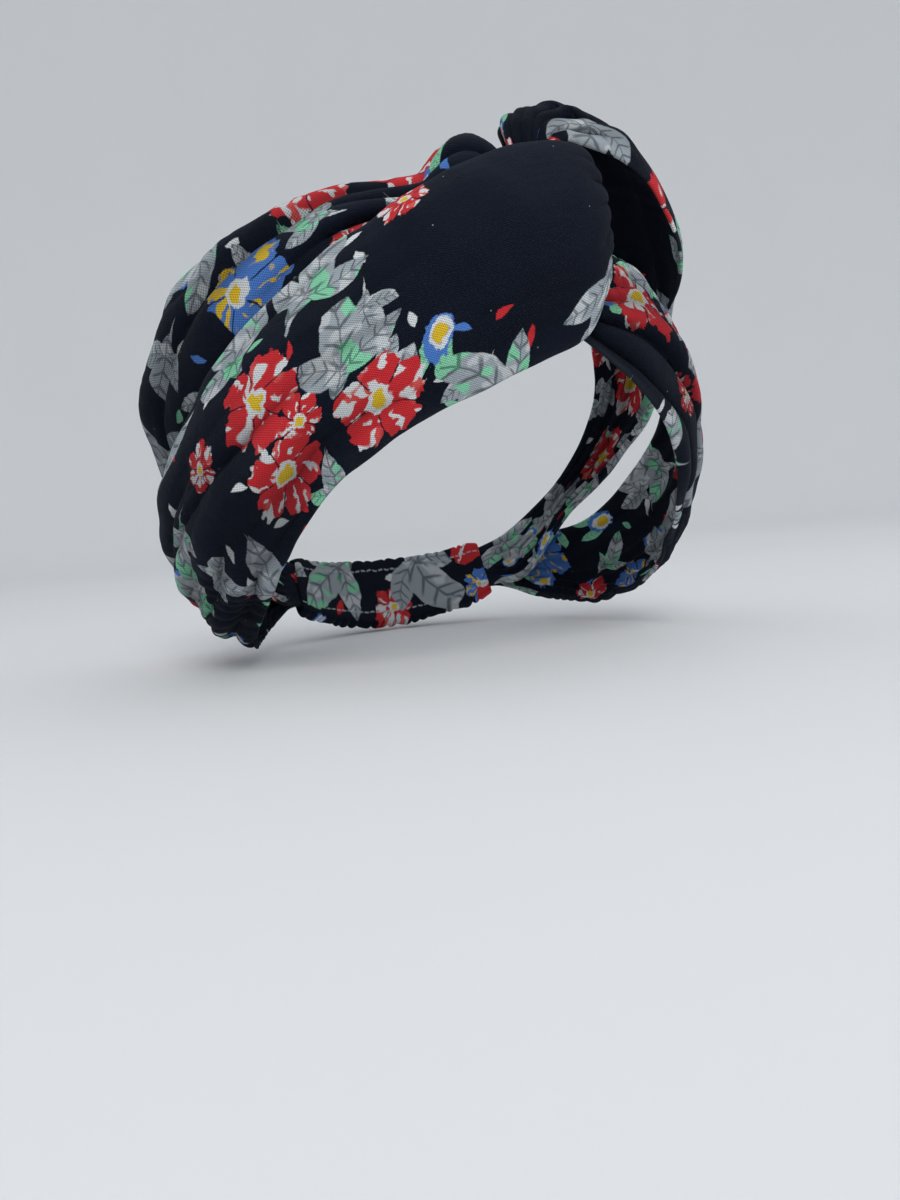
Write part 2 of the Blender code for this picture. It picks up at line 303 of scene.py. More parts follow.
LEFT_CREASES = [Crease(*row) for row in (
    (2.0, 10.0, 0.70, 0.62, 0.6, 1.1, 0.25),
    (2.0, 9.6, 0.42, 0.30, 0.6, 1.1, 0.25),
    (13.0, 22.0, 0.50, 0.45, 0.8, 0.8, 0.8),
    (12.4, 16.6, 0.66, 0.76, 0.9, 0.4, 0.5),
    (4.6, 10.6, 0.69, 0.60, 0.70, 0.22, 0.40),
    (5.2, 10.4, 0.40, 0.28, 0.75, 0.22, 0.40),
    (6.4, 10.8, 0.87, 0.82, 0.35, 0.18, 0.50),
    (13.0, 17.6, 0.36, 0.30, 0.45, 0.22, 0.50),
    (15.0, 21.6, 0.24, 0.20, 0.45, 0.22, 0.50),
)]
LEFT_GATHERS = [Gather(*row) for row in (
    (1.0, 6.0, 6.0, 1.0, 0.4),
    (4.2, 11.2, 5.0, 1.0, 0.3),
    (12.0, 15.2, 6.0, 0.8, 0.3),
    (15.5, 21.5, 4.0, 0.8, 0.5),
    (19.5, 23.2, 6.0, 1.0, 0.4),
)]
LEFT_CRUMPLES = [Crumple(*row) for row in (
    (3.0, 0.20, 1.2, 0.30, 0.0080, 0.0009, 0.4),
    (8.0, 0.75, 1.2, 0.25, 0.0070, 0.0007, -0.4),
    (16.5, 0.30, 1.4, 0.30, 0.0090, 0.0008, 0.5),
)]


def unit(vectors: np.ndarray) -> np.ndarray:
    """Scale vectors to length one."""
    return vectors / np.linalg.norm(vectors, axis=-1, keepdims=True)


def surface_normals(grid: np.ndarray) -> np.ndarray:
    """Normals of a grid of points: the slope along it crossed with the slope across it."""
    return unit(np.cross(np.gradient(grid, axis=0), np.gradient(grid, axis=1)))


def smooth_step(low: float, high: float, value: np.ndarray) -> np.ndarray:
    """Rise from 0 at low to 1 at high along the curve 3t squared minus 2t cubed."""
    share = np.clip((value - low) / (high - low), 0.0, 1.0)
    return share * share * (3.0 - 2.0 * share)


def wander(x: np.ndarray, y: np.ndarray, pitch: float, seed: int, waves: int = 9) -> np.ndarray:
    """Smooth uneven noise between about -1 and 1: a sum of sine waves of seeded directions and phases.

    Args:
        x: first coordinate.
        y: second coordinate.
        pitch: the usual wavelength, in the coordinates' unit.
        seed: fixes the directions, lengths and phases.
        waves: how many sines are added.

    Returns:
        The noise at each point.
    """
    shortest, longest = 0.65, 1.6
    rng = np.random.default_rng(seed)
    heading, phase = rng.uniform(0.0, TURN, (2, waves))
    length = pitch * rng.uniform(shortest, longest, waves)
    total = np.zeros(np.broadcast(x, y).shape)
    for angle, start, wave in zip(heading, phase, length):
        total = total + np.sin(TURN * (x * math.cos(angle) + y * math.sin(angle)) / wave + start)
    return total / math.sqrt(waves)


def signed_volume(vertices: np.ndarray, quads: np.ndarray) -> float:
    """Volume inside quads, positive when they face out: the sum of the fans from the origin over 6."""
    a, b, c, d = (vertices[quads[:, corner]] for corner in range(4))
    return float((np.sum(a * np.cross(b, c)) + np.sum(a * np.cross(c, d))) / 6.0)


def make_piece(name: str, vertices: np.ndarray, faces: list[list[int]],
               layers: dict[str, np.ndarray]) -> bpy.types.Object:
    """Put arrays into a smooth mesh object.

    Args:
        name: the object's name.
        vertices: points, in metres.
        faces: vertex numbers of each face, turned so that it faces out.
        layers: vertex attributes by name, one number or one vector a vertex.

    Returns:
        The new object, at the origin.
    """
    mesh = bpy.data.meshes.new(name)
    mesh.from_pydata(vertices.tolist(), [], faces)
    mesh.validate()
    mesh.shade_smooth()
    for layer, values in layers.items():
        wide = values.ndim == 2
        made = mesh.attributes.new(layer, "FLOAT_VECTOR" if wide else "FLOAT", "POINT")
        made.data.foreach_set("vector" if wide else "value", values.astype(np.float32).ravel())
    piece = bpy.data.objects.new(name, mesh)
    bpy.context.scene.collection.objects.link(piece)
    return piece


def ring_quads(index: np.ndarray) -> np.ndarray:
    """Quads between neighbouring rows of vertex numbers, where each row closes to a ring."""
    beside = np.roll(index, -1, axis=1)
    return np.stack([index[:-1], beside[:-1], beside[1:], index[1:]], axis=-1).reshape(-1, 4)


def tube_faces(ring: np.ndarray, columns: int) -> list[list[int]]:
    """Faces of a flattened tube whose rings run over its face and back under it, with closed ends.

    Args:
        ring: points by row and round each row.
        columns: how many points of a row lie on its face, both edges among them.

    Returns:
        Vertex numbers of each face, facing out.
    """
    rows, count = ring.shape[:2]
    index = np.arange(rows * count).reshape(rows, count)
    skin = ring_quads(index)
    inside_out = signed_volume(ring.reshape(-1, 3), skin) < 0.0
    quads, corners = [skin], []
    for row, turn in ((index[0], -1), (index[-1], 1)):
        over, under = row[1:columns - 1], row[:columns - 1:-1]
        quads.append(np.stack([over[:-1], over[1:], under[1:], under[:-1]], axis=1)[:, ::turn])
        corners += [[row[0], over[0], under[0]][::turn], [over[-1], row[columns - 1], under[-1]][::turn]]
    flow = -1 if inside_out else 1
    return [face[::flow] for face in np.concatenate(quads).tolist() + np.array(corners).tolist()]


Number = Union["Signal", float]


class Signal:
    """One number in a material's nodes. Arithmetic on it adds Math nodes."""

    def __init__(self, paint: "Paint", socket: bpy.types.NodeSocket) -> None:
        """Wrap an output socket of a material."""
        self.paint = paint
        self.socket = socket

    def __add__(self, other: Number) -> "Signal":
        """self + other."""
        return self.paint.math("ADD", self, other)

    def __sub__(self, other: Number) -> "Signal":
        """self - other."""
        return self.paint.math("SUBTRACT", self, other)

    def __rsub__(self, other: Number) -> "Signal":
        """other - self."""
        return self.paint.math("SUBTRACT", other, self)

    def __mul__(self, other: Number) -> "Signal":
        """self times other."""
        return self.paint.math("MULTIPLY", self, other)

    def __truediv__(self, other: Number) -> "Signal":
        """self over other."""
        return self.paint.math("DIVIDE", self, other)

    def __rtruediv__(self, other: Number) -> "Signal":
        """other over self."""
        return self.paint.math("DIVIDE", other, self)

    def __pow__(self, other: Number) -> "Signal":
        """self to the power of other."""
        return self.paint.math("POWER", self, other)

    def __abs__(self) -> "Signal":
        """self without its sign."""
        return self.paint.math("ABSOLUTE", self)

    __radd__ = __add__
    __rmul__ = __mul__


class Paint:
    """A material's node tree, with the one method that adds nodes to it and the maths built on that."""

    def __init__(self, name: str) -> None:
        """Start an empty material with its shader and output.

        Args:
            name: the material's name.
        """
        self.material = bpy.data.materials.new(name)
        self.material.use_nodes = True
        self.tree = self.material.node_tree
        self.tree.nodes.clear()
        self.shader = self.node("ShaderNodeBsdfPrincipled", {}, {})
        self.node("ShaderNodeOutputMaterial", {}, {"Surface": self.shader.outputs[0]})

    def node(self, kind: str, settings: dict, values: dict) -> bpy.types.Node:
        """Add a node.

        Args:
            kind: Blender's type name of the node.
            settings: its properties, set before its sockets.
            values: what each socket holds or is linked to, by the socket's name or number.

        Returns:
            The node.
        """
        made = self.tree.nodes.new(kind)
        for key, value in settings.items():
            setattr(made, key, value)
        self.feed(made, values)
        return made

    def feed(self, node: bpy.types.Node, values: dict) -> None:
        """Fill or link a node's sockets, each found by its name or number."""
        for key, value in values.items():
            socket = node.inputs[key]
            if isinstance(value, Signal):
                value = value.socket
            if isinstance(value, bpy.types.NodeSocket):
                self.tree.links.new(value, socket)
            else:
                socket.default_value = value

    def math(self, operation: str, *values: Number, clamp: bool = False) -> Signal:
        """Work out one number from up to three others with a Math node."""
        settings = {"operation": operation, "use_clamp": clamp}
        return Signal(self, self.node("ShaderNodeMath", settings, dict(enumerate(values))).outputs[0])

    def edge(self, inside: Number, softness: float) -> Signal:
        """A mask that is 1 where inside is positive, with an edge as wide as softness."""
        return self.math("MULTIPLY_ADD", inside, 1.0 / softness, 0.5, clamp=True)

    def mix(self, mask: Number, under: object, over: object) -> bpy.types.NodeSocket:
        """Lay one colour over another by a mask.

        Args:
            mask: 0 shows under and 1 shows over.
            under: a colour socket or an ink.
            over: a colour socket or an ink.

        Returns:
            The mixed colour's socket.
        """
        below, above = ((*c.value, 1.0) if isinstance(c, Ink) else c for c in (under, over))
        factor, first, second, result = 0, 6, 7, 2
        settings = {"data_type": "RGBA", "clamp_factor": True}
        values = {factor: mask, first: below, second: above}
        return self.node("ShaderNodeMix", settings, values).outputs[result]

    def attribute(self, name: str, kind: str) -> bpy.types.Node:
        """Read a mesh attribute of the piece."""
        return self.node("ShaderNodeAttribute", {"attribute_name": name, "attribute_type": kind}, {})

    def split(self, vector: bpy.types.NodeSocket) -> tuple[Signal, Signal]:
        """First two parts of a vector."""
        parts = self.node("ShaderNodeSeparateXYZ", {}, {0: vector})
        return Signal(self, parts.outputs[0]), Signal(self, parts.outputs[1])

    def join(self, x: Number, y: Number) -> bpy.types.NodeSocket:
        """A flat vector of two numbers."""
        return self.node("ShaderNodeCombineXYZ", {}, {0: x, 1: y}).outputs[0]

    def noise(self, vector: bpy.types.NodeSocket, scale: float, detail: float) -> Signal:
        """Add cloudy noise.

        Args:
            vector: flat coordinates.
            scale: clouds in a metre.
            detail: how many finer layers they have.

        Returns:
            The noise, around one half.
        """
        settings = {"noise_dimensions": "2D"}
        values = {"Vector": vector, "Scale": scale, "Detail": detail}
        return Signal(self, self.node("ShaderNodeTexNoise", settings, values).outputs[0])


class Sprig(NamedTuple):
    """A motif's own coordinates, its place on the cloth and its random numbers."""

    x: Signal
    y: Signal
    middle_x: Signal
    middle_y: Signal
    pick: Signal
    shade: Signal
    gap: Signal


class Bare(NamedTuple):
    """An oval of cloth that the large motifs leave bare, in cloth metres."""

    middle_x: float
    middle_y: float
    half_x: float
    half_y: float


class Leaf(NamedTuple):
    """A leaf's half length and half width, and the bend of its spine per metre."""

    length: float
    width: float
    bend: float


LONG_LEAF, SIDE_LEAF = Leaf(0.0200, 0.0074, 9.0), Leaf(0.0120, 0.0054, -12.0)
BUD_LEAF, DROP = Leaf(0.0062, 0.0026, 20.0), Leaf(0.0036, 0.0014, 40.0)


@dataclass(frozen=True)
class PrintedCotton:
    """Medium-weight plain-weave cotton with a tossed print of flowers, leaves and buds.

    Lengths are metres of cloth. A share is of the leaf's or flower's own size, and a value that ends in
    over or under is where noise between 0 and 1 switches a colour.
    """

    name: str
    bare: tuple[Bare, ...]
    shift: tuple[float, float] = (0.0, 0.0)
    stitched_at: tuple[float, ...] = ()
    stitch_pitch: float = 0.0028
    stitch_half: float = 0.00035
    yarn: float = 0.00098
    roughness: float = 0.86
    sheen: float = 0.035
    sheen_tint: RGB = (0.72, 0.78, 0.90)
    specular: float = 0.06
    relief: float = 0.0005
    ink_edge: float = 0.00045
    cloud_edge: float = 0.03
    motif_gap: float = 0.0004
    cell_jitter: float = 0.62
    layer_slant: float = 1.7
    vein_slant: float = 0.8
    vein_pitch: float = 0.36
    vein_half: float = 0.11
    vein_reach: float = 0.70
    spine_half: float = 0.045
    petal_crest: float = 0.34
    petal_valley: float = 0.66
    fray: float = 0.30
    strokes: float = 10.0
    coral_over: float = 0.60
    wash_over: float = 0.575
    tips_under: float = 0.40
    blue_over: float = 0.84
    mint_over: float = 0.62
    groove_half: float = 0.0007
    ring_share: float = 0.27
    heart_share: float = 0.17
    heart_fray: float = 0.25

    def scatter(self, paint: Paint, x: Signal, y: Signal, cell: float, seed: float) -> Sprig:
        """Toss motifs over the cloth, one near the middle of each uneven cell, each turned at random.

        Args:
            paint: the material.
            x: cloth coordinate along the strip.
            y: cloth coordinate across it.
            cell: the usual distance between motifs.
            seed: moves this layer's cells away from the others'.

        Returns:
            The nearest motif's coordinates and random numbers.
        """
        start_x, start_y = self.shift[0] + seed, self.shift[1] + seed * self.layer_slant
        place = paint.join(x / cell + start_x, y / cell + start_y)
        values = {"Vector": place, "Scale": 1.0, "Randomness": self.cell_jitter}
        kinds = ({"voronoi_dimensions": "2D", "feature": feature} for feature in ("F1", "DISTANCE_TO_EDGE"))
        cells, edges = (paint.node("ShaderNodeTexVoronoi", kind, values) for kind in kinds)
        cell_x, cell_y = paint.split(cells.outputs["Position"])
        here_x, here_y = paint.split(place)
        step_x, step_y = (here_x - cell_x) * cell, (here_y - cell_y) * cell
        dice = paint.node("ShaderNodeSeparateColor", {}, {0: cells.outputs["Color"]})
        turn, pick, shade = (Signal(paint, dice.outputs[part]) for part in range(3))
        cosine, sine = paint.math("COSINE", turn * TURN), paint.math("SINE", turn * TURN)
        return Sprig(step_x * cosine + step_y * sine, step_y * cosine - step_x * sine,
                     (cell_x - start_x) * cell, (cell_y - start_y) * cell,
                     pick, shade, Signal(paint, edges.outputs[0]) * cell)

    def shown(self, paint: Paint, sprig: Sprig, low: float, high: float) -> Signal:
        """Choose the motifs of a layer by chance, off the bare ovals and clear of their cell's edge.

        Args:
            paint: the material.
            sprig: the motif's coordinates and random numbers.
            low: the lowest pick that is shown.
            high: the highest.

        Returns:
            1 where the motif shows.
        """
        mask = paint.math("GREATER_THAN", sprig.pick, low) * paint.math("LESS_THAN", sprig.pick, high)
        for oval in self.bare:
            off_x = (sprig.middle_x - oval.middle_x) / oval.half_x
            off_y = (sprig.middle_y - oval.middle_y) / oval.half_y
            mask = mask * paint.math("GREATER_THAN", off_x * off_x + off_y * off_y, 1.0)
        return mask * paint.edge(sprig.gap - self.motif_gap, self.ink_edge)

    def leaf(self, paint: Paint, x: Signal, y: Signal, shape: Leaf) -> tuple[Signal, Signal]:
        """A leaf and its veins.

        Its half-width falls off with the square of the distance along it, about a spine that bends with
        that square too. The veins are slanted stripes off the spine.

        Args:
            paint: the material.
            x: coordinate along the leaf.
            y: coordinate across it.
            shape: its sizes.

        Returns:
            The leaf's mask and its veins' mask.
        """
        along = x / shape.length
        off = abs(y - x * x * shape.bend)
        blade = paint.edge((1.0 - along * along) * shape.width - off, self.ink_edge)
        # Eight whole steps are added so that the fraction is taken of a positive number.
        slant = paint.math("FRACT", (x - off * self.vein_slant) / (shape.length * self.vein_pitch) + 8.0)
        stripes = paint.edge(self.vein_half - abs(slant - 0.5), softness=0.10)
        side = stripes * paint.edge(shape.width * self.vein_reach - off, softness=shape.width * 0.3)
        spine = paint.edge(shape.width * self.spine_half - off, self.ink_edge)
        return blade, paint.math("MAXIMUM", side, spine)

    def flower(self, paint: Paint, sprig: Sprig, under: object, show: Signal, petals: float,
               size: float) -> object:
        """A loosely painted round flower laid over the colours under it.

        Its outline is a circle pulled in between the petals by the cosine of the angle, with a ragged
        edge. Clouds of a second colour wash over the petals and brush strokes run out through both, as a
        sine of the angle and the radius. A pale ring surrounds a yellow heart.

        Args:
            paint: the material.
            sprig: the motif's coordinates.
            under: the colours so far.
            show: where the flower shows.
            petals: how many petals it has.
            size: its radius.

        Returns:
            The new colours.
        """
        radius = paint.math("SQRT", sprig.x * sprig.x + sprig.y * sprig.y)
        angle = paint.math("ARCTAN2", sprig.y, sprig.x)
        crest = abs(paint.math("COSINE", angle * (petals / 2.0)))
        cloud = paint.noise(paint.join(sprig.x + sprig.middle_x * 3.0, sprig.y), scale=1.3 / size, detail=1.0)
        ragged = paint.noise(paint.join(sprig.x, sprig.y + sprig.middle_x), scale=5.0 / size, detail=1.0)
        ragged = ragged - 0.5
        reach = (crest ** 0.5 * self.petal_crest + self.petal_valley + ragged * self.fray) * size
        shape = paint.edge(reach - radius, self.ink_edge) * show
        brush = paint.math("SINE", angle * self.strokes + ragged * 4.0 + radius * (4.0 / size))
        blue = paint.math("GREATER_THAN", sprig.shade, self.blue_over)
        warm = paint.mix(paint.edge(cloud - self.coral_over, softness=0.12), Ink.RED, Ink.CORAL)
        petal = paint.mix(blue, warm, Ink.BLUE)
        pale = paint.mix(blue, Ink.WHITE, Ink.YELLOW)
        tips_from, grooves_from, fade = size * 0.42, size * 0.30, 0.001
        wash = paint.edge(cloud - self.wash_over, self.cloud_edge) * paint.edge(0.45 - brush, softness=0.4)
        tips = paint.edge(self.tips_under - cloud, self.cloud_edge) * paint.edge(brush - 0.70, softness=0.3)
        tips = tips * paint.edge(radius - tips_from, fade)
        petal = paint.mix(paint.math("MAXIMUM", wash, tips), petal, pale)
        grooves = paint.edge(self.groove_half - crest * radius, self.ink_edge)
        petal = paint.mix(grooves * paint.edge(radius - grooves_from, fade) * 0.9, petal, Ink.NAVY)
        for share, ink in ((self.ring_share, Ink.WHITE), (self.heart_share, Ink.YELLOW)):
            disc = paint.edge((ragged * self.heart_fray + share) * size - radius, self.ink_edge)
            petal = paint.mix(disc, petal, ink)
        return paint.mix(shape, under, petal)

    def leaves(self, paint: Paint, sprig: Sprig, under: object, show: Signal, size: float) -> object:
        """Lay a spray of one long leaf and a mirrored pair beside it over the colours under it.

        The pair is one leaf, turned by a sixth of a turn, on the distance from the spray's line. Clouds
        wash the pale grey with white, and on some sprays with mint.

        Args:
            paint: the material.
            sprig: the motif's coordinates.
            under: the colours so far.
            show: where the spray shows.
            size: its size, 1 for a spray 40 mm long.

        Returns:
            The new colours.
        """
        here_x, here_y = sprig.x / size, sprig.y / size
        blade, veins = self.leaf(paint, here_x - 0.004, here_y, LONG_LEAF)
        spread, fork_x = TURN / 6.0, here_x + 0.009
        side_x = fork_x * math.cos(spread) + abs(here_y) * math.sin(spread)
        side_y = abs(here_y) * math.cos(spread) - fork_x * math.sin(spread)
        pair, pair_veins = self.leaf(paint, side_x - 0.010, side_y, SIDE_LEAF)
        stalk = (0.024 - abs(here_x)) * 0.09 - abs(here_y - here_x * here_x * LONG_LEAF.bend)
        both = paint.math("MAXIMUM", paint.math("MAXIMUM", blade, pair), paint.edge(stalk, self.ink_edge))
        marks = paint.math("MAXIMUM", veins * blade, pair_veins * pair)
        cloud = paint.noise(paint.join(here_x + sprig.middle_x, here_y), scale=110.0, detail=1.0)
        tone = paint.mix(paint.edge(cloud - 0.60, softness=0.05) * 0.6, Ink.GREY, Ink.WHITE)
        minted = paint.math("GREATER_THAN", sprig.shade, self.mint_over)
        tone = paint.mix(paint.edge(0.42 - cloud, self.cloud_edge) * minted, tone, Ink.MINT)
        return paint.mix(both * show, under, paint.mix(marks * 0.62, tone, Ink.NAVY))

    def buds(self, paint: Paint, sprig: Sprig, under: object, show: Signal) -> object:
        """Lay a blue bud with a yellow heart, and a mint leaf on each side of its stalk, over the colours.

        The bud and its heart are ovals with a ragged edge, the heart off the middle with a pale ring.

        Args:
            paint: the material.
            sprig: the motif's coordinates.
            under: the colours so far.
            show: where the bud shows.

        Returns:
            The new colours.
        """
        off_x, lean_x, lean_y = sprig.x - 0.0035, sprig.x - 0.0047, sprig.y + 0.0008
        wing, wing_veins = self.leaf(paint, sprig.x + 0.0035, abs(sprig.y) - 0.0042, BUD_LEAF)
        colour = paint.mix(wing * show, under, paint.mix(wing_veins * 0.4, Ink.MINT, Ink.NAVY))
        outer = paint.math("SQRT", off_x * off_x * 0.55 + sprig.y * sprig.y)
        inner = paint.math("SQRT", lean_x * lean_x * 0.5 + lean_y * lean_y)
        ragged = paint.noise(paint.join(sprig.x + sprig.middle_x, sprig.y), scale=420.0, detail=1.0) - 0.5
        bud = paint.edge(ragged * 0.0030 + 0.0054 - outer, self.ink_edge)
        heart = paint.edge(ragged * 0.0012 + 0.0023 - inner, self.ink_edge)
        ring = paint.edge(0.0007 - abs(inner - 0.0030 - ragged * 0.002), self.ink_edge)
        petal = paint.mix(ring, Ink.BLUE, Ink.WHITE)
        return paint.mix(bud * show, colour, paint.mix(heart, petal, Ink.YELLOW))

    def tips(self, paint: Paint, sprig: Sprig, under: object, show: Signal) -> object:
        """Lay small drops in white, red, mint or blue over the colours under them.

        Args:
            paint: the material.
            sprig: the motif's coordinates.
            under: the colours so far.
            show: where the drops show.

        Returns:
            The new colours.
        """
        drop, _ = self.leaf(paint, sprig.x, sprig.y, DROP)
        colour = Ink.WHITE
        for over, ink in ((0.35, Ink.RED), (0.60, Ink.MINT), (0.80, Ink.BLUE)):
            colour = paint.mix(paint.edge(sprig.shade - over, softness=0.02), colour, ink)
        return paint.mix(drop * show, under, colour)

    def dress(self, piece: bpy.types.Object) -> None:
        """Give a piece the cloth: ground, print, weave, rubbing on ridges and edges, painted shade in the
        folds' valleys and between threads, lint and sheen.

        Args:
            piece: a mesh with the attributes cloth (metres along and across) and worn (-1 for full painted
                shade in valleys, up to 1 where ridges and edges are rubbed).
        """
        paint = Paint(self.name)
        cloth = paint.attribute("cloth", "GEOMETRY").outputs["Vector"]
        # worn holds rubbing above zero and painted shade of the folds' valleys below zero.
        wear_and_crease_shade = Signal(paint, paint.attribute("worn", "GEOMETRY").outputs["Fac"])
        worn, painted_crease_shade = paint.math("MAXIMUM", wear_and_crease_shade, 0.0), paint.math("MAXIMUM", wear_and_crease_shade * -1.0, 0.0)
        flat_x, flat_y = paint.split(cloth)
        drift = paint.noise(cloth, scale=60.0, detail=2.0) - 0.5
        slub = paint.noise(cloth, scale=900.0, detail=1.0) - 0.5
        sway = paint.noise(cloth, scale=31.0, detail=1.0) - 0.5
        x, y = flat_x + drift * 0.0060 + slub * 0.0005, flat_y + sway * 0.0090 - slub * 0.0005

        colour = paint.mix(paint.noise(cloth, scale=25.0, detail=3.0), Ink.SHADE, Ink.NAVY)
        small = self.scatter(paint, x, y, cell=0.0125, seed=3.3)
        colour = self.tips(paint, small, colour, self.shown(paint, small, low=0.0, high=0.30))
        middle = self.scatter(paint, x, y, cell=0.026, seed=11.7)
        show = self.shown(paint, middle, low=0.25, high=0.56)
        colour = self.leaves(paint, middle, colour, show, size=0.66)
        colour = self.buds(paint, middle, colour, self.shown(paint, middle, low=0.0, high=0.22))
        show = self.shown(paint, middle, low=0.84, high=1.0)
        colour = self.flower(paint, middle, colour, show, petals=6.0, size=0.0090)
        large = self.scatter(paint, x, y, cell=0.040, seed=5.9)
        show = self.shown(paint, large, low=0.0, high=0.40)
        colour = self.leaves(paint, large, colour, show, size=1.06)
        show = self.shown(paint, large, low=0.52, high=0.92)
        colour = self.flower(paint, large, colour, show, petals=5.0, size=0.0170)

        warp, weft = (paint.math("SINE", flat * (TURN / self.yarn)) for flat in (flat_x, flat_y))
        thread = warp * weft
        # Painted shade in the gaps between warp and weft threads.
        painted_gap_shade = paint.edge(-0.30 - thread, softness=0.9)
        fuzz = paint.edge(thread - 0.3, softness=1.0) * (slub * 0.6 + 0.5)
        values = {"Vector": cloth, "Scale": 26.0, "Randomness": 1.0}
        lint = paint.node("ShaderNodeTexVoronoi", {"voronoi_dimensions": "2D"}, values).outputs["Distance"]
        speck = paint.edge(0.0065 - Signal(paint, lint), softness=0.004)
        # Painted shade darkens the gaps between threads and the folds' valleys; fuzz, rubbing and lint are
        # the cloth's own colour.
        for mask, ink in ((painted_gap_shade * 0.62, Ink.SHADE), (fuzz * 0.024 + worn * 0.030, Ink.GREY),
                          (speck * 0.35, Ink.WHITE), (painted_crease_shade * 0.55, Ink.SHADE)):
            colour = paint.mix(mask, colour, ink)
        for row in self.stitched_at:
            line = paint.edge(self.stitch_half - abs(flat_y - row), softness=0.0003)
            step = paint.math("FRACT", flat_x / self.stitch_pitch + 50.0)
            dash = paint.edge(0.36 - abs(step - 0.5), softness=0.1)
            colour = paint.mix(line * dash * 0.75, colour, Ink.GREY)

        rumple = (paint.noise(cloth, scale=210.0, detail=3.0) * 0.9
                  + paint.noise(cloth, scale=70.0, detail=2.0) * 1.6)
        height = thread * 0.16 + slub * 0.35 + rumple
        bump = paint.node("ShaderNodeBump", {}, {"Strength": 0.75, "Distance": self.relief, "Height": height})
        paint.feed(paint.shader, {
            "Base Color": colour, "Roughness": (drift * 0.10 + self.roughness) - worn * 0.05,
            "Normal": bump.outputs[0], "Specular IOR Level": self.specular, "Sheen Weight": self.sheen,
            "Sheen Roughness": 0.45, "Sheen Tint": (*self.sheen_tint, 1.0)})
        piece.data.materials.append(paint.material)


@dataclass(frozen=True)
class Plaster:
    """Plain matt pale surface of the studio floor."""

    name: str = "studio_floor"
    tone: RGB = (0.76, 0.765, 0.77)

    def dress(self, piece: bpy.types.Object) -> None:
        """Give the floor its coat: the tone and one 3 % lighter, mixed by clouds.

        Args:
            piece: the floor.
        """
        paint = Paint(self.name)
        place = paint.node("ShaderNodeTexCoord", {}, {}).outputs["Object"]
        light = tuple(part * 1.03 for part in self.tone)
        coat = paint.mix(paint.noise(place, scale=3.0, detail=3.0), (*self.tone, 1.0), (*light, 1.0))
        paint.feed(paint.shader, {"Base Color": coat, "Roughness": 0.9})
        piece.data.materials.append(paint.material)


def take_over(piece: bpy.types.Object, finish: PrintedCotton, node: str) -> None:
    """Dress a piece and put it in the place of a CAD node.

    Args:
        piece: the finished mesh.
        finish: its cloth.
        node: the CAD node that it replaces.
    """
    finish.dress(piece)
    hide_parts(node)
    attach(piece, "root")


class Lay(NamedTuple):
    """Where each point of a strip lies.

    Station is its row's section number, across its share of the width, run the metres along the strip to
    its row, and width the strip's width there.
    """

    station: np.ndarray
    across: np.ndarray
    run: np.ndarray
    width: np.ndarray


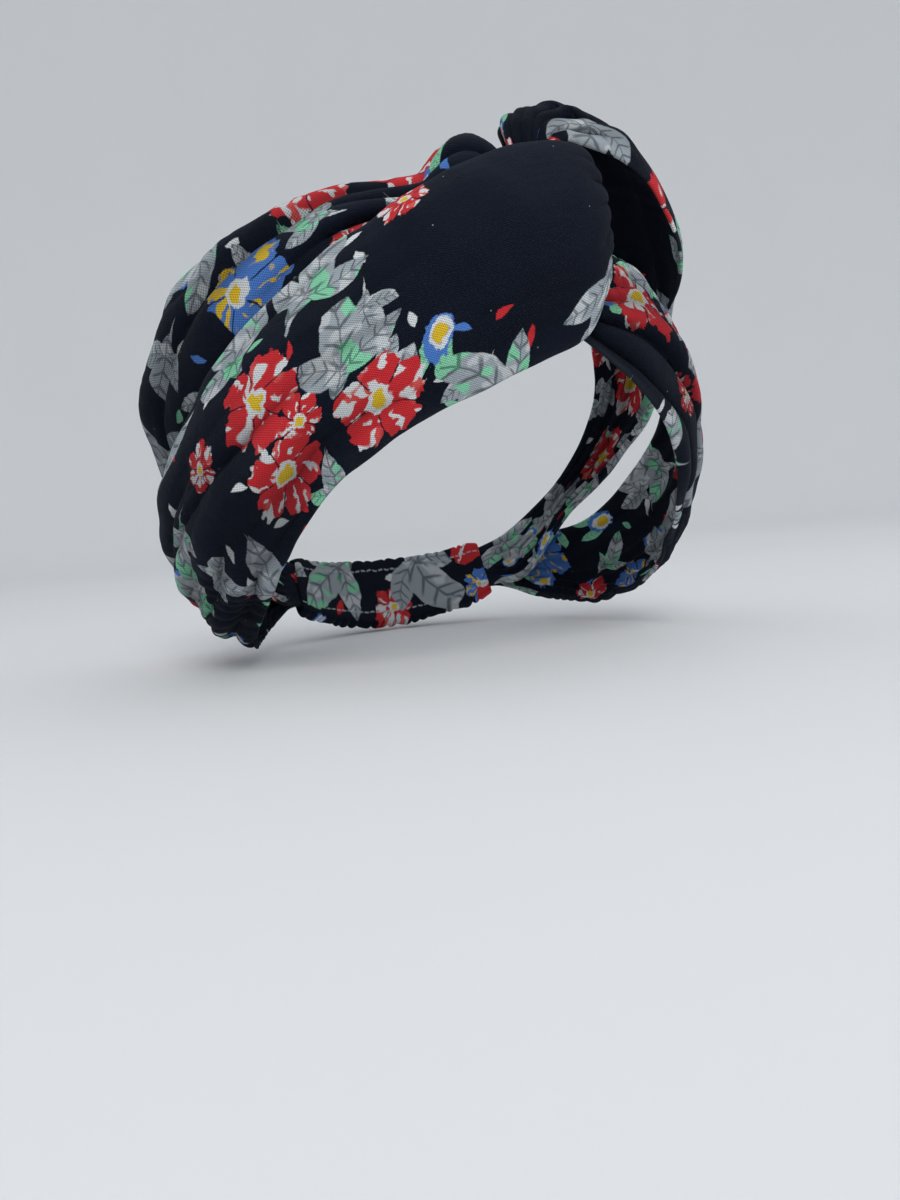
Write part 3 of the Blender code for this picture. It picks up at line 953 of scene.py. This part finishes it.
@dataclass
class Strip:
    """One wide strip of doubled cotton, wrapped along its sections, with its folds, pleats and crumples."""

    name: str
    node: str
    slot: str
    sections: Sequence[Section]
    creases: Sequence[Crease]
    gathers: Sequence[Gather]
    crumples: Sequence[Crumple]
    finish: PrintedCotton
    seed: int
    cut_width: float = 0.092
    cut_end_width: float = 0.052
    cut_taper: float = 0.24
    edge_round: float = 0.0011
    cuts_along: int = 470
    cuts_across: int = 84
    edge_crowding: float = 0.28
    knot_cuts: float = 0.6
    flattest_arch: float = 1.0
    least_spare: float = 0.02
    most_spare: float = 1.1
    pleat_lead: float = 0.9
    pleat_round: float = 0.7
    pleat_level: float = 0.62
    crumple_round: float = 0.8
    crumple_level: float = 0.6
    hang_height: float = 0.0005
    hang_pitch: float = 0.030
    ridge_height: float = 0.0025
    ridge_wear: float = 0.6
    edge_wear_reach: float = 0.0016
    # Depth at which a valley's painted shade is full.
    full_shade_depth: float = 0.0035
    length: float = field(default=0.0, init=False)

    def smooth_rows(self) -> tuple[np.ndarray, np.ndarray]:
        """Run a smooth curve through the sections.

        Between two sections each column follows the Catmull-Rom cubic of its four nearest values. Cuts
        lie closer where the sections do.

        Returns:
            The rows of edge points, arch and lean, and each row's section number.
        """
        rows = np.array(self.sections, dtype=float)
        outs = [Section._fields.index("out_1"), Section._fields.index("out_2")]
        rows[:, outs] *= WRAP.stand_off
        rows[:, outs] += np.linspace(WRAP.outer_seat, WRAP.inner_seat, len(rows))[:, None]
        middles = (rows[:, 0:3] + rows[:, 3:6]) / 2.0 * HEAD.layout
        steps = np.linalg.norm(np.diff(middles, axis=0), axis=1) ** self.knot_cuts
        knots = np.concatenate([[0.0], np.cumsum(steps)])
        where = np.linspace(0.0, knots[-1], self.cuts_along + 1)
        first = np.clip(np.searchsorted(knots, where, side="right") - 1, 0, len(rows) - 2)
        share = ((where - knots[first]) / (knots[first + 1] - knots[first]))[:, None]
        padded = np.vstack([2 * rows[0] - rows[1], rows, 2 * rows[-1] - rows[-2]])
        before, here, after, beyond = (padded[first + shift] for shift in range(4))
        curve = 0.5 * (2 * here + (after - before) * share
                       + (2 * before - 5 * here + 4 * after - beyond) * share ** 2
                       + (3 * here - before - 3 * after + beyond) * share ** 3)
        return curve, first + share[:, 0]

    def crease_height(self, crease: Crease, lay: Lay) -> np.ndarray:
        """Depth of one crease.

        It falls off with the exponent of the distance from the crease's line, faster behind the line, and
        fades towards both ends with a power of the sine of the way along it.

        Args:
            crease: where it runs and how deep it is.
            lay: where the points lie on the flat strip.

        Returns:
            Metres along the normal, into the cloth.
        """
        progress = (lay.station - crease.section_1) / (crease.section_2 - crease.section_1)
        progress = np.clip(progress, 0.0, 1.0)
        line = crease.across_1 + (crease.across_2 - crease.across_1) * progress
        fade = np.sin(math.pi * progress) ** WRAP.crease_fade
        reach = crease.reach * WRAP.crease_reach
        distance = (lay.across - line) * lay.width
        wall = np.exp(-np.abs(distance) / np.where(distance > 0.0, crease.steep * reach, reach))
        return -crease.depth * WRAP.crease_depth * fade * wall

    def cut_at(self, share: np.ndarray) -> np.ndarray:
        """Width that the strip was cut to at a share of its length: tapered to both ends by a smooth step."""
        taper = smooth_step(0.0, self.cut_taper, np.minimum(share, 1.0 - share))
        return self.cut_end_width + (self.cut_width - self.cut_end_width) * taper

    def pleats(self, lay: Lay, spare: np.ndarray) -> np.ndarray:
        """Height of the pleats: rounded ridges with sharp valleys, the size of a sine in width and wander.

        A sine of amplitude A with n waves over a width w is longer than w by the share (pi n A / w)
        squared, so A follows from the cloth to spare, and each run of pleats takes its part of it.

        Args:
            lay: where the points lie on the wrapped strip.
            spare: share of cloth to spare there.

        Returns:
            Metres along the normal.
        """
        span = lay.across * lay.width
        height = np.zeros(np.broadcast(lay.station, lay.across).shape)
        for number, gather in enumerate(self.gathers):
            lead = np.minimum(self.pleat_lead, (gather.section_2 - gather.section_1) / 2.0)
            window = smooth_step(gather.section_1, gather.section_1 + lead, lay.station)
            window = window * (1.0 - smooth_step(gather.section_2 - lead, gather.section_2, lay.station))
            drift = wander(lay.run, span, pitch=0.090, seed=self.seed + number) * gather.wander
            uneven = wander(lay.across * 3.0, lay.run * 4.0, pitch=1.0, seed=self.seed + 40 + number)
            phase = gather.count * lay.across + 0.16 * uneven + drift * 0.6 + 0.37 * number
            ridge = np.abs(np.sin(math.pi * phase)) ** self.pleat_round - self.pleat_level
            tall = 0.72 + 0.28 * wander(lay.run, span * 2.0, pitch=0.060, seed=self.seed + 80 + number)
            size = lay.width / (math.pi * gather.count) * np.sqrt(spare) * gather.fullness
            height = height + window * size * 2.0 * tall * ridge
        return height

    def crumple_height(self, lay: Lay) -> np.ndarray:
        """Height of the sagging cross folds: slanted, wandering ridges inside soft ovals.

        Args:
            lay: where the points lie on the wrapped strip.

        Returns:
            Metres along the normal.
        """
        height = np.zeros(np.broadcast(lay.station, lay.across).shape)
        for number, fold in enumerate(self.crumples):
            off = (((lay.station - fold.section) / fold.reach_along) ** 2
                   + ((lay.across - fold.across) / fold.reach_across) ** 2)
            sway = wander(lay.run, lay.across * lay.width, pitch=0.035, seed=self.seed + 120 + number)
            slide = fold.slant * (lay.across - fold.across) * lay.width
            phase = (lay.run + slide) / fold.pitch + sway * 0.7
            ridge = np.abs(np.sin(math.pi * phase)) ** self.crumple_round - self.crumple_level
            height = height + np.exp(-off) * fold.depth * ridge * 2.0
        return height

    def cloth_surface(self) -> tuple[np.ndarray, np.ndarray, np.ndarray, np.ndarray]:
        """Work out the strip's middle surface.

        Each section is an arc between the strip's two edges, in a flat layout whose third axis is the
        distance out from the head. Creases, pleats and crumples are added along the normals, and the
        layout is then laid on the head.

        Returns:
            World points, cloth coordinates in metres, painted valley shade and rubbing from -1 (full painted
            shade in valleys) to 1 (rubbed ridges and edges), and metres from the first edge.
        """
        rows, station = self.smooth_rows()
        edge_1, edge_2 = rows[:, 0:3] * HEAD.layout, rows[:, 3:6] * HEAD.layout
        width = np.linalg.norm(edge_2 - edge_1, axis=1, keepdims=True)
        crossing = (edge_2 - edge_1) / width
        outward = unit(np.cross(crossing, np.gradient((edge_1 + edge_2) / 2.0, axis=0)))
        outward *= np.sign(outward[0, 2])
        even = np.linspace(0.0, 1.0, self.cuts_across + 1)
        crowded = 0.5 - 0.5 * np.cos(math.pi * even)
        across = ((1.0 - self.edge_crowding) * even + self.edge_crowding * crowded)[None, :]
        arch = rows[:, 6:7] * DEGREE
        flattest = self.flattest_arch * DEGREE
        arch = np.where(np.abs(arch) < flattest, flattest, arch)
        radius = width / (2.0 * np.sin(arch / 2.0))
        angle = (across - 0.5) * arch
        rise = radius * (np.cos(angle) - np.cos(arch / 2.0))
        reach = radius * np.sin(angle) + width / 2.0 + rows[:, 7:8] * np.abs(rise)
        flat = edge_1[:, None] + crossing[:, None] * reach[..., None] + outward[:, None] * rise[..., None]
        laid = HEAD.place(flat / HEAD.layout)
        paces = np.linalg.norm(np.diff(laid, axis=0), axis=2).mean(axis=1)
        run = np.concatenate([[0.0], np.cumsum(paces)])[:, None]
        self.length = float(run[-1, 0])
        girth = np.linalg.norm(np.diff(laid, axis=1), axis=2).sum(axis=1)[:, None]
        cut = self.cut_at(run / self.length)
        spare = np.clip(cut / girth - 1.0, self.least_spare, self.most_spare)
        here = station[:, None]
        bulge = np.sign(arch)
        unfolded, lay = Lay(here, across, run, width), Lay(here, across, run, girth)
        fold = bulge * sum(self.crease_height(crease, unfolded) for crease in self.creases)
        fine = bulge * (self.pleats(lay, spare) + self.crumple_height(lay))
        hang = self.hang_height * wander(run, across * girth, self.hang_pitch, self.seed + 7)
        mouth, last_mouth, lead = 1.0, len(self.sections) - 2.0, 0.5
        inside = smooth_step(mouth, mouth + lead, here)
        inside = inside * (1.0 - smooth_step(last_mouth - lead, last_mouth, here))
        normals = surface_normals(flat)
        normals *= np.sign(np.sum(normals * outward[:, None]))
        points = HEAD.place((flat + normals * (fold + (fine + hang) * inside)[..., None]) / HEAD.layout)
        cloth = np.stack([run + 0.0 * across, (across - 0.5) * cut, 0.0 * run * across], axis=-1)
        from_edge = np.minimum(across, 1.0 - across) * girth
        worn = (np.clip(bulge * fine / self.ridge_height, 0.0, 1.0) * self.ridge_wear
                + np.exp(-from_edge / self.edge_wear_reach))
        # Painted shade in the valleys of creases, pleats and crumples, darker the deeper they sink.
        painted_valley_shade = np.clip(-bulge * (fold + fine) / self.full_shade_depth, 0.0, 1.0)
        wear_and_crease_shade = np.clip(worn, 0.0, 1.0) - painted_valley_shade
        return points, cloth, wear_and_crease_shade, across * girth

    def build(self) -> bpy.types.Object:
        """Make the strip's mesh: both faces of the middle surface, with rounded folded edges and closed ends.

        The face stands off the middle surface by half the cloth, times the quarter circle of the distance
        from the edge, so the two faces meet in a round fold.

        Returns:
            The strip.
        """
        points, cloth, worn, from_first = self.cloth_surface()
        normals = surface_normals(points)
        girth = from_first[:, -1:]
        from_edge = np.clip(np.minimum(from_first, girth - from_first) / self.edge_round, 0.0, 1.0)
        half = WRAP.cloth / 2.0 * np.sqrt(1.0 - (1.0 - from_edge) ** 2)
        face = points + normals * half[..., None]
        back = (points - normals * half[..., None])[:, -2:0:-1]
        ring = np.concatenate([face, back], axis=1)
        faces = tube_faces(ring, points.shape[1])
        # The worn layer holds rubbing above zero and painted valley shade below zero.
        layers = {
            "cloth": np.concatenate([cloth, cloth[:, -2:0:-1]], axis=1).reshape(-1, 3),
            "worn": np.concatenate([worn, worn[:, -2:0:-1]], axis=1).reshape(-1),
        }
        piece = make_piece(self.name, ring.reshape(-1, 3), faces, layers)
        take_over(piece, self.finish, self.node)
        return piece

    def declare(self, piece: bpy.types.Object, rests_on: Sequence[str]) -> None:
        """Log how the strip was cut, its widest cut width and its length; its area, the mean cut width times
        the length, is worked out but not kept.

        Args:
            piece: the strip.
            rests_on: the names of the pieces that it lies on; not used.
        """
        shares = np.linspace(0.0, 1.0, 400)
        area = float(self.cut_at(shares).mean() * self.length)
        LOG.info("%s: cut %.0f x %.0f mm", piece.name, self.cut_width * 1000, self.length * 1000)


@dataclass
class NapeCasing:
    """The gathered sleeve at the nape that holds the strip ends and an elastic, with two rows of stitches.

    Seen share is the part of the cloth's length that lies on top of the gathers, where its print shows.
    """

    name: str = "gathered_casing"
    node: str = "nape_band"
    slot: str = "printed_cotton_nape"
    finish: PrintedCotton = PrintedCotton("nape_cotton", (), stitched_at=(-0.0088, 0.0088))
    seen_share: float = 0.62
    wear_and_crease_shade: float = 0.15
    flat_ease: float = 1.1
    corner: float = 0.35
    flare: float = 0.12
    ruffle_height: float = 0.0022
    ruffle_round: float = 0.7
    ruffles: int = 17
    cut_length: float = 0.150
    cuts_along: int = 300
    cuts_around: int = 96
    mouth_roll: float = 0.05

    @property
    def half_height(self) -> float:
        """Half the inner height of the sleeve, in metres of cloth."""
        return WRAP.end_half_width * HEAD.arc_per_degree + WRAP.casing_corner_room + WRAP.casing_clearance

    def surface(self, wall: float, lift: float) -> np.ndarray:
        """One skin of the sleeve.

        A rounded flat ring is carried round the nape. Uneven ruffles lift its outer side, tallest midway
        up, and die out at the mouths, where the skin closes on the inner one in a quarter circle.

        Args:
            wall: how far the skin stands off the strip ends' clearance.
            lift: 1 to raise the ruffles, 0 for a plain skin.

        Returns:
            World points by cut along and cut around.
        """
        along = np.linspace(0.0, 1.0, self.cuts_along + 1)[:, None]
        angle = np.linspace(0.0, TURN, self.cuts_around, endpoint=False)[None, :]
        middle_out = (WRAP.inner_seat + WRAP.outer_seat) / 2.0
        depth = (WRAP.outer_seat - WRAP.inner_seat + WRAP.cloth) / 2.0 + WRAP.casing_clearance
        side = np.sign(np.cos(angle)) * np.abs(np.cos(angle)) ** self.corner
        face = np.sign(np.sin(angle)) * np.abs(np.sin(angle)) ** self.corner
        sway = 0.35 * wander(along * 9.0, 0.25 * side, pitch=1.0, seed=31)
        ridge = np.abs(np.sin(math.pi * (self.ruffles * along + sway))) ** self.ruffle_round
        mouth = np.clip(np.minimum(along, 1.0 - along) / self.mouth_roll, 0.0, 1.0)
        rolled = np.sqrt(1.0 - (1.0 - mouth) ** 2)
        uneven = 0.75 + 0.25 * wander(along * 6.0, side, pitch=1.0, seed=32)
        ruffle = self.ruffle_height * ridge * uneven * lift * mouth
        outer_side = np.clip(face, 0.0, 1.0)
        out = middle_out + face * (depth + wall * rolled) + ruffle * outer_side
        wider = 1.0 + self.flare * np.sin(math.pi * along) ** 2
        up = side * (self.half_height + wall * rolled + ruffle * 0.5) * wider
        around = WRAP.casing_round + (360.0 - 2.0 * WRAP.casing_round) * along + 0.0 * angle
        return HEAD.place(np.stack([around, WRAP.nape_up + up / HEAD.arc_per_degree, out], axis=-1))

    def build(self) -> bpy.types.Object:
        """Join the outer and inner skins at the mouths and dress the sleeve.

        Returns:
            The sleeve.
        """
        outer, inner = self.surface(WRAP.casing_wall, 1.0), self.surface(0.0, 0.0)
        rows, count = outer.shape[:2]
        points = np.concatenate([outer, inner[::-1]])
        index = np.arange(rows * count * 2).reshape(rows * 2, count)
        faces = ring_quads(np.vstack([index, index[:1]]))
        if signed_volume(points.reshape(-1, 3), faces) < 0.0:
            faces = faces[:, ::-1]
        along = np.linspace(0.0, self.seen_share * self.cut_length, rows)[:, None]
        level = np.cos(np.linspace(0.0, TURN, count, endpoint=False))[None, :]
        height = np.sign(level) * np.abs(level) ** self.corner * self.half_height
        cloth = np.stack([along + 0.0 * height, height + 0.0 * along, 0.0 * along * height], axis=-1)
        layers = {
            "cloth": np.concatenate([cloth, cloth[::-1]]).reshape(-1, 3),
            "worn": np.full(rows * count * 2, self.wear_and_crease_shade),
        }
        piece = make_piece(self.name, points.reshape(-1, 3), faces.tolist(), layers)
        take_over(piece, self.finish, self.node)
        return piece

    def declare(self, piece: bpy.types.Object) -> None:
        """Work out the casing's cut round both sides of the strip ends, times its flat ease, and keep
        nothing; the casing is a strip folded round the ends and gathered on its elastic.

        Args:
            piece: the sleeve; not used.
        """
        ring = 2.0 * 2.0 * WRAP.end_half_width * HEAD.arc_per_degree
        ring * self.flat_ease


class Lamp(NamedTuple):
    """A square soft light: its name, place, size in metres, power in watts and colour."""

    name: str
    place: tuple[float, float, float]
    size: float
    power: float
    tint: RGB


LAMPS = (
    Lamp("key_light", (-0.35, -1.25, 1.05), 0.7, 10.0, (1.0, 0.985, 0.96)),
    Lamp("fill_light", (1.1, -0.9, 0.7), 1.1, 2.5, (0.93, 0.96, 1.0)),
    Lamp("top_light", (0.1, 0.5, 1.6), 1.2, 0.6, (0.97, 0.985, 1.0)),
)


@dataclass
class Studio:
    """A pale bowl of floor under soft lights, and the camera of the photograph."""

    floor_drop: float = 0.0015
    flat_radius: float = 1.3
    bowl_radius: float = 2.6
    bowl_height: float = 2.6
    lit_point: tuple[float, float, float] = (0.0, 0.0, 0.04)
    air: RGB = (0.90, 0.945, 1.0)
    air_strength: float = 0.78
    sensor: float = 36.0
    lens: float = 30.0
    nearest: float = 0.01
    place: tuple[float, float, float] = (-0.1522, -0.3698, -0.0042)
    right: tuple[float, float, float] = (0.9222, -0.3797, -0.0749)
    up: tuple[float, float, float] = (0.1023, 0.0524, 0.9934)
    back: tuple[float, float, float] = (-0.3732, -0.9237, 0.0872)

    def floor(self, level: float) -> bpy.types.Object:
        """Lay a round floor that curves up into a wall: flat to one radius, then a quarter of an ellipse.

        Args:
            level: height of its flat part.

        Returns:
            The floor.
        """
        middle, cuts_around, cuts_out, cuts_up = 0.02, 96, 12, 25
        ring = np.linspace(0.0, TURN, cuts_around, endpoint=False)[None, :]
        flat = np.linspace(middle, self.flat_radius, cuts_out)[:, None]
        sweep = np.linspace(0.0, math.pi / 2.0, cuts_up)[1:, None]
        radius = np.vstack([flat, self.flat_radius + (self.bowl_radius - self.flat_radius) * np.sin(sweep)])
        height = np.vstack([flat * 0.0, self.bowl_height * (1.0 - np.cos(sweep))])
        upright = level + height + 0.0 * ring
        points = np.stack([radius * np.cos(ring), radius * np.sin(ring), upright], axis=-1)
        index = np.arange(upright.size).reshape(points.shape[:2])
        faces = ring_quads(index)[:, ::-1]
        floor = make_piece("floor", points.reshape(-1, 3), faces.tolist() + [index[0].tolist()], {})
        Plaster().dress(floor)
        return floor

    def set_up(self, name: str, data: bpy.types.ID, axes: Sequence,
               place: Sequence[float]) -> bpy.types.Object:
        """Put a lamp or camera into the scene.

        Args:
            name: the object's name.
            data: the lamp or camera.
            axes: its own three axes.
            place: where it stands.

        Returns:
            The object.
        """
        made = bpy.data.objects.new(name, data)
        made.matrix_world = Matrix.Translation(place) @ Matrix(np.column_stack(axes).tolist()).to_4x4()
        bpy.context.scene.collection.objects.link(made)
        return made

    def hang(self, lamp: Lamp) -> None:
        """Hang a lamp so that it looks at the middle of the band.

        Args:
            lamp: its place and light.
        """
        light = bpy.data.lights.new(lamp.name, "AREA")
        light.size, light.energy, light.color = lamp.size, lamp.power, lamp.tint
        back = unit(np.array(lamp.place) - np.array(self.lit_point))
        side = unit(np.cross([0.0, 0.0, 1.0], back))
        self.set_up(lamp.name, light, [side, np.cross(back, side), back], lamp.place)

    def build(self, lowest: float) -> None:
        """Set up the floor, the lights, the pale world and the camera.

        Args:
            lowest: height of the band's lowest point.
        """
        scene = bpy.context.scene
        self.floor(lowest - self.floor_drop)
        for lamp in LAMPS:
            self.hang(lamp)
        scene.view_settings.view_transform = "Standard"
        scene.world = bpy.data.worlds.new("studio_air")
        scene.world.use_nodes = True
        sky = scene.world.node_tree.nodes["Background"].inputs
        sky["Color"].default_value, sky["Strength"].default_value = (*self.air, 1.0), self.air_strength
        data = bpy.data.cameras.new("camera")
        data.lens, data.sensor_width, data.clip_start = self.lens, self.sensor, self.nearest
        scene.camera = self.set_up("camera", data, [self.right, self.up, self.back], self.place)


def corners(box: tuple) -> list[list[float]]:
    """A box's two corners as plain numbers."""
    return [list(map(float, corner)) for corner in box]


def main() -> None:
    """Build every piece in order, then the studio."""
    logging.basicConfig(level=logging.INFO, format="%(name)s: %(message)s")
    right_cotton = PrintedCotton("right_cotton", (Bare(0.335, 0.012, 0.085, 0.040),), shift=(7.4, 3.1))
    left_cotton = PrintedCotton("left_cotton", (Bare(0.40, 0.0, 0.05, 0.03),), shift=(9.2, 5.3))
    right = Strip("right_strip", "right_wrap", "printed_cotton_right", RIGHT_SECTIONS, RIGHT_CREASES,
                  RIGHT_GATHERS, RIGHT_CRUMPLES, right_cotton, seed=11)
    left = Strip("left_strip", "left_wrap", "printed_cotton_left", LEFT_SECTIONS, LEFT_CREASES,
                 LEFT_GATHERS, LEFT_CRUMPLES, left_cotton, seed=23, cut_width=0.073, cut_end_width=0.042)
    casing = NapeCasing()
    made = []
    for part in (right, left, casing):
        piece = part.build()
        made.append(piece)
        LOG.info("%s: %d faces", piece.name, len(piece.data.polygons))
    right.declare(made[0], ["left_strip", "gathered_casing"])
    left.declare(made[1], ["right_strip", "gathered_casing"])
    casing.declare(made[2])
    Studio().build(float(CAD_BOX[0][2]))


if __name__ == "__main__":
    main()
